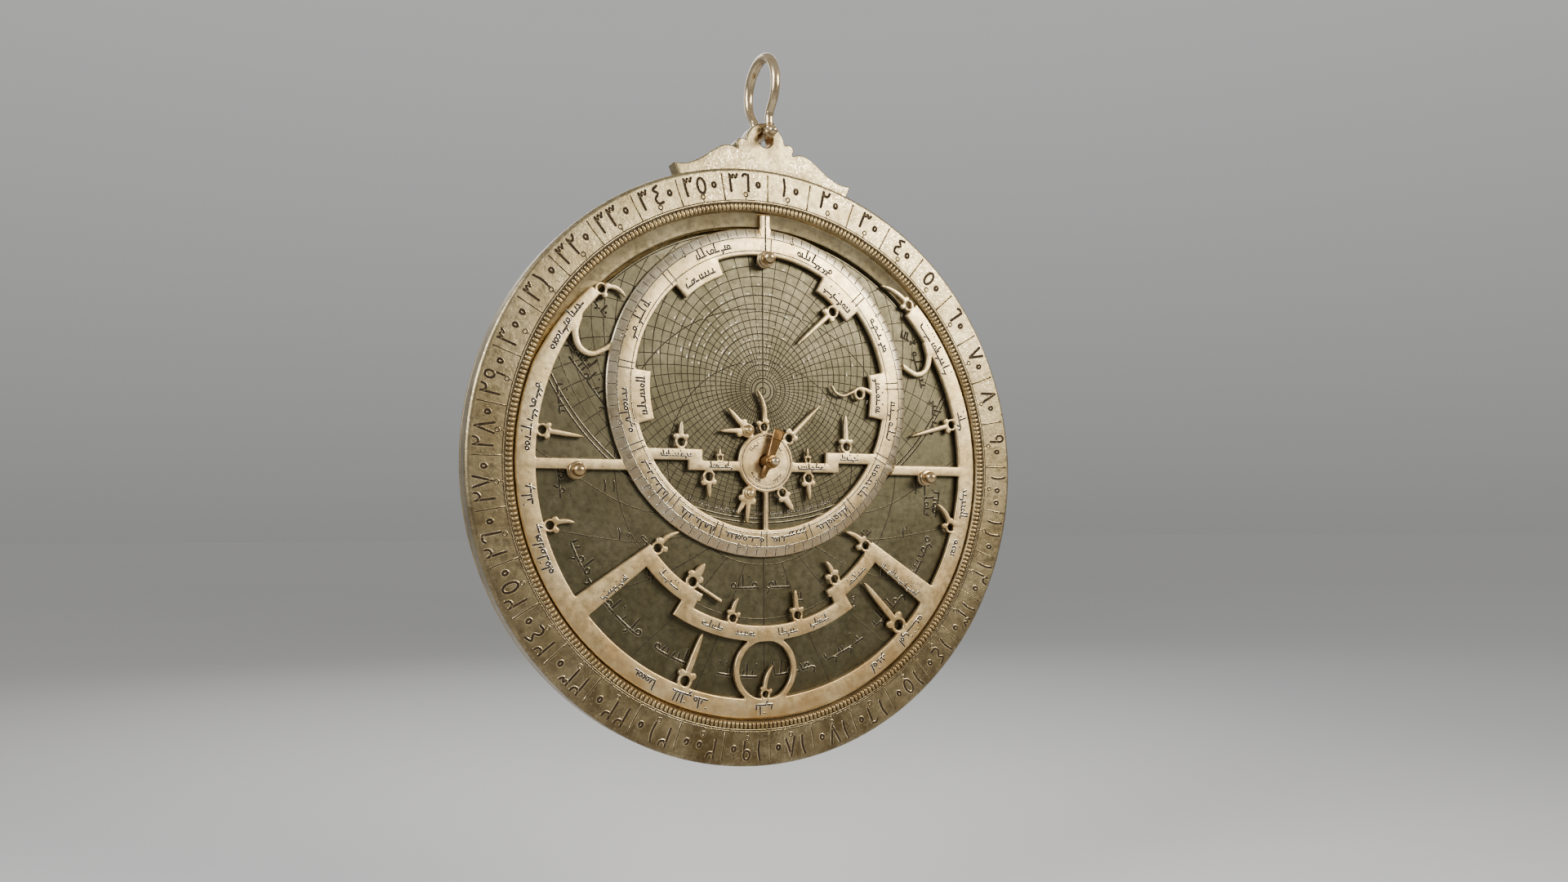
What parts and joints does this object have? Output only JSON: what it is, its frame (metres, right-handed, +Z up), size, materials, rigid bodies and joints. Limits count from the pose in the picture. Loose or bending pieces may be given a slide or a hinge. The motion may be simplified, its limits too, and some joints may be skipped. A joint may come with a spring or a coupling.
{
  "type": "planispheric astrolabe",
  "caption": "Hanging brass astrolabe: a pierced star map over engraved plates in a graduated disc, with a wedge and pin, a sighting rule behind, a throne and a shackle.",
  "frame": {"origin": "the inner top of the shackle's loop, the point the astrolabe hangs from", "axes": "+Z up, towards the loop; the limb's engraved face looks along -Y; +X to the right as that face is seen"},
  "size_m": [0.155, 0.0289, 0.1871],
  "materials": {
    "limb": "worn, finely grained brass",
    "plate": "darkened olive-grey brass",
    "rete": "pale brass, softly rubbed",
    "polished": "polished pale brass",
    "wedge": "brown bronze"
  },
  "bodies": {
    "shackle": {"shackle_loop": "polished", "shackle_pin": "polished"},
    "mater": {"limb_ring": "limb", "mater_back": "limb", "throne": "limb", "limb_rivet_1": "limb", "limb_rivet_2": "limb", "limb_rivet_3": "limb", "limb_rivet_4": "limb", "limb_rivet_5": "limb", "limb_rivet_6": "limb", "limb_rivet_7": "limb", "limb_rivet_8": "limb", "plate_1": "plate", "plate_2": "plate", "plate_3": "plate"},
    "rete": {"rete": "rete", "knob_left": "polished", "knob_right": "polished", "knob_top": "polished", "stud_upper": "polished", "stud_lower": "polished"},
    "pin": {"centre_pin": "polished", "back_washer": "limb"},
    "wedge": {"wedge": "wedge"},
    "alidade": {"alidade": "rete", "vane_a": "rete", "vane_b": "rete"}
  },
  "joints": [
    {"name": "astrolabe_swing", "type": "hinge", "parent": "shackle", "child": "mater", "pos_m": [0, 0, -0.0213], "axis": [0, 1, 0], "range_deg": [-105, 105]},
    {"name": "rete_turn", "type": "hinge", "parent": "mater", "child": "rete", "pos_m": [0, -0.003, -0.1073], "axis": [0, 1, 0], "continuous": true},
    {"name": "pin_turn", "type": "hinge", "parent": "mater", "child": "pin", "pos_m": [0, -0.003, -0.1073], "axis": [0, 1, 0], "continuous": true},
    {"name": "wedge_slide", "type": "slide", "parent": "pin", "child": "wedge", "axis": [0.3256, 0, 0.9455], "range_m": [0, 0.006]},
    {"name": "alidade_turn", "type": "hinge", "parent": "mater", "child": "alidade", "pos_m": [0, 0.006, -0.1073], "axis": [0, 1, 0], "continuous": true}
  ]
}
